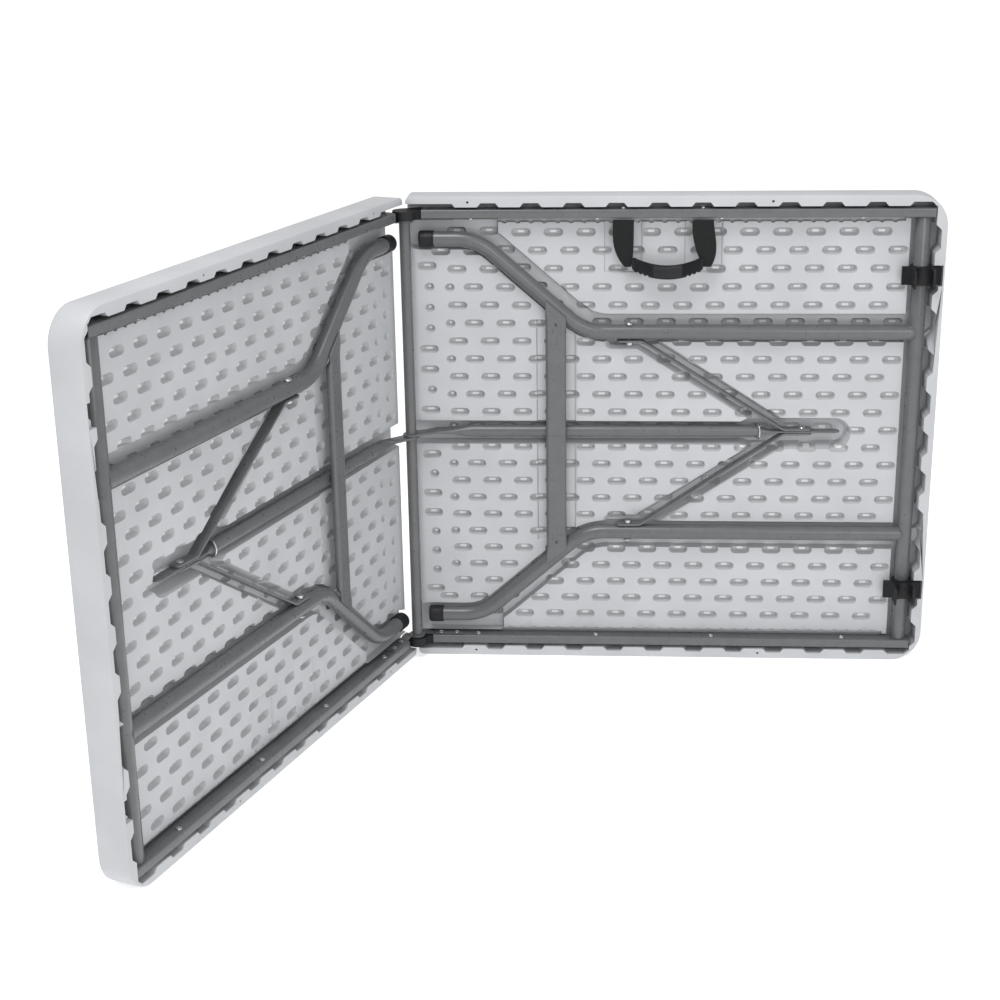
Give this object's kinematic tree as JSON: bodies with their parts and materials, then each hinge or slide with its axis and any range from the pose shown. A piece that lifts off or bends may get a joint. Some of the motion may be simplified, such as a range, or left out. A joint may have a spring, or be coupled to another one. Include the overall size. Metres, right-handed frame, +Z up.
{
  "type": "folding table",
  "caption": "Fold-in-half table of two hollow moulded halves on a hinged steel frame, standing part open on one long edge, leg frames folded away, with a carrying handle.",
  "frame": {"origin": "on the floor, under the centre of the part-open table's box", "axes": "+Z up along the hinge axis, +X along the right half from the hinge, +Y out of the right half's table top"},
  "size_m": [1.0642, 0.7612, 0.705],
  "materials": {
    "white_polyethylene": "light grey-white blow-moulded polyethylene, fine satin texture",
    "grey_powder_coat": "mid-grey powder coat on steel tube, satin",
    "black_nylon": "black moulded nylon, satin",
    "black_webbing": "black woven nylon webbing",
    "zinc_plate": "bright zinc-plated steel"
  },
  "bodies": {
    "right_half": {"right_half_top": "white_polyethylene", "right_upper_rail": "grey_powder_coat", "right_lower_rail": "grey_powder_coat", "right_upper_hinge_plate": "grey_powder_coat", "right_lower_hinge_plate": "grey_powder_coat", "upper_hinge_knuckle": "black_nylon", "lower_hinge_knuckle": "black_nylon", "hinge_cross_tube": "grey_powder_coat", "upper_closing_clip": "black_nylon", "lower_closing_clip": "black_nylon", "handle_screw_inner": "zinc_plate", "handle_screw_outer": "zinc_plate"},
    "left_half": {"left_half_top": "white_polyethylene", "left_upper_rail": "grey_powder_coat", "left_lower_rail": "grey_powder_coat", "left_upper_hinge_plate": "grey_powder_coat", "left_lower_hinge_plate": "grey_powder_coat", "left_upper_rail_plug": "black_nylon", "left_lower_rail_plug": "black_nylon"},
    "right_leg_frame": {"right_leg_pivot_tube": "grey_powder_coat", "right_upper_leg": "grey_powder_coat", "right_lower_leg": "grey_powder_coat", "right_leg_crossbar": "grey_powder_coat", "right_upper_foot_cap": "black_nylon", "right_lower_foot_cap": "black_nylon", "right_upper_brace_bolt": "zinc_plate", "right_lower_brace_bolt": "zinc_plate"},
    "right_link": {"right_centre_link": "grey_powder_coat"},
    "right_brace": {"right_brace_rivet": "zinc_plate", "right_upper_brace_strap": "grey_powder_coat", "right_lower_brace_strap": "grey_powder_coat", "right_upper_brace_nut": "zinc_plate", "right_lower_brace_nut": "zinc_plate"},
    "right_collar": {"right_lock_collar": "zinc_plate"},
    "left_leg_frame": {"left_leg_pivot_tube": "grey_powder_coat", "left_upper_leg": "grey_powder_coat", "left_lower_leg": "grey_powder_coat", "left_leg_crossbar": "grey_powder_coat", "left_upper_foot_cap": "black_nylon", "left_lower_foot_cap": "black_nylon", "left_upper_brace_bolt": "zinc_plate", "left_lower_brace_bolt": "zinc_plate"},
    "left_link": {"left_centre_link": "grey_powder_coat"},
    "left_brace": {"left_brace_rivet": "zinc_plate", "left_upper_brace_strap": "grey_powder_coat", "left_lower_brace_strap": "grey_powder_coat", "left_upper_brace_nut": "zinc_plate", "left_lower_brace_nut": "zinc_plate"},
    "left_collar": {"left_lock_collar": "zinc_plate"},
    "handle_straps": {"handle_strap_inner": "black_webbing", "handle_strap_outer": "black_webbing"},
    "handle_grip": {"handle_grip": "black_nylon"}
  },
  "joints": [
    {"name": "table_fold", "type": "hinge", "parent": "right_half", "child": "left_half", "pos_m": [-0.22993, 0.33459, 0.3525], "axis": [0, 0, -1], "range_deg": [-110, 70]},
    {"name": "right_leg_fold", "type": "hinge", "parent": "right_half", "child": "right_leg_frame", "pos_m": [0.50007, 0.34959, 0.3525], "axis": [0, 0, 1], "range_deg": [0, 90]},
    {"name": "right_link_swing", "type": "hinge", "parent": "right_half", "child": "right_link", "pos_m": [-0.22993, 0.33459, 0.3525], "axis": [0, 0, -1], "range_deg": [0, 31.11]},
    {"name": "right_brace_swing", "type": "hinge", "parent": "right_link", "child": "right_brace", "pos_m": [0.34462, 0.36153, 0.3525], "axis": [0, 0, 1], "range_deg": [0, 180]},
    {"name": "right_collar_slide", "type": "slide", "parent": "right_link", "child": "right_collar", "axis": [0.9999, 0.0129, 0], "range_m": [-0.26, 0.008]},
    {"name": "left_leg_fold", "type": "hinge", "parent": "left_half", "child": "left_leg_frame", "pos_m": [-0.4937, -0.34625, 0.3525], "axis": [0, 0, -1], "range_deg": [0, 90]},
    {"name": "left_link_swing", "type": "hinge", "parent": "left_half", "child": "left_link", "pos_m": [-0.22993, 0.33459, 0.3525], "axis": [0, 0, 1], "range_deg": [0, 31.11]},
    {"name": "left_brace_swing", "type": "hinge", "parent": "left_link", "child": "left_brace", "pos_m": [-0.45175, -0.1961, 0.3525], "axis": [0, 0, -1], "range_deg": [0, 180]},
    {"name": "left_collar_slide", "type": "slide", "parent": "left_link", "child": "left_collar", "axis": [-0.3541, -0.9352, 0], "range_m": [-0.26, 0.008]},
    {"name": "handle_swing", "type": "hinge", "parent": "right_half", "child": "handle_straps", "pos_m": [0.13607, 0.33449, 0.6714], "axis": [-1, 0, 0], "range_deg": [0, 180]},
    {"name": "grip_roll", "type": "hinge", "parent": "handle_straps", "child": "handle_grip", "pos_m": [0.13607, 0.33449, 0.6094], "axis": [-1, 0, 0], "range_deg": [-25, 25]}
  ],
  "couplings": [
    {"joint": "right_link_swing", "follows": "right_leg_fold", "ratio": 0.34557},
    {"joint": "right_brace_swing", "follows": "right_leg_fold", "ratio": 2},
    {"joint": "left_link_swing", "follows": "left_leg_fold", "ratio": 0.34557},
    {"joint": "left_brace_swing", "follows": "left_leg_fold", "ratio": 2}
  ]
}
